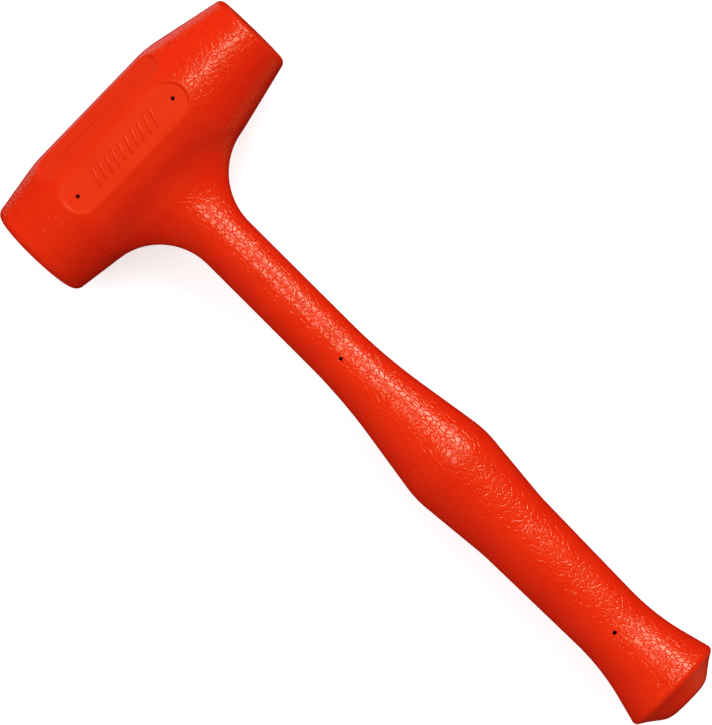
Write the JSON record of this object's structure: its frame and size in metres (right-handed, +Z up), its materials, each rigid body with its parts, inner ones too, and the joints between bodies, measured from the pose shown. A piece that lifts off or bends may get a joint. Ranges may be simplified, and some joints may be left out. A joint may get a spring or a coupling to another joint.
{
  "type": "dead blow mallet",
  "caption": "One-piece red urethane mallet with a two-faced barrel head and a swelled grip, cast over a steel canister of sliding shot and a steel rod.",
  "frame": {"origin": "on the table, under the middle of the mallet's box, with the mallet lying on its side", "axes": "+X along the head towards the small face, +Y along the handle towards the top of the head, +Z up, square to the side flats"},
  "size_m": [0.1136, 0.3054, 0.0466],
  "materials": {
    "red_urethane": "semi-gloss, moulded leather grain, smooth on the flats and faces",
    "mild_steel": "mill finish",
    "drawn_steel": "cold drawn, turned grooves",
    "weld_metal": "as welded, heat tinted",
    "shot_steel": "tumbled, oiled"
  },
  "bodies": {
    "mallet": {"urethane_body": "red_urethane", "canister_tube": "mild_steel", "canister_cap_large_end": "mild_steel", "canister_cap_small_end": "mild_steel", "cap_weld_large_end": "weld_metal", "cap_weld_small_end": "weld_metal", "rod_socket": "mild_steel", "socket_weld": "weld_metal", "handle_rod": "drawn_steel", "rod_weld": "weld_metal"},
    "shot": {"steel_shot": "shot_steel"}
  },
  "joints": [
    {"name": "shot_slide", "type": "slide", "parent": "mallet", "child": "shot", "axis": [1, 0, 0], "range_m": [-0.0095, 0.0095]}
  ]
}
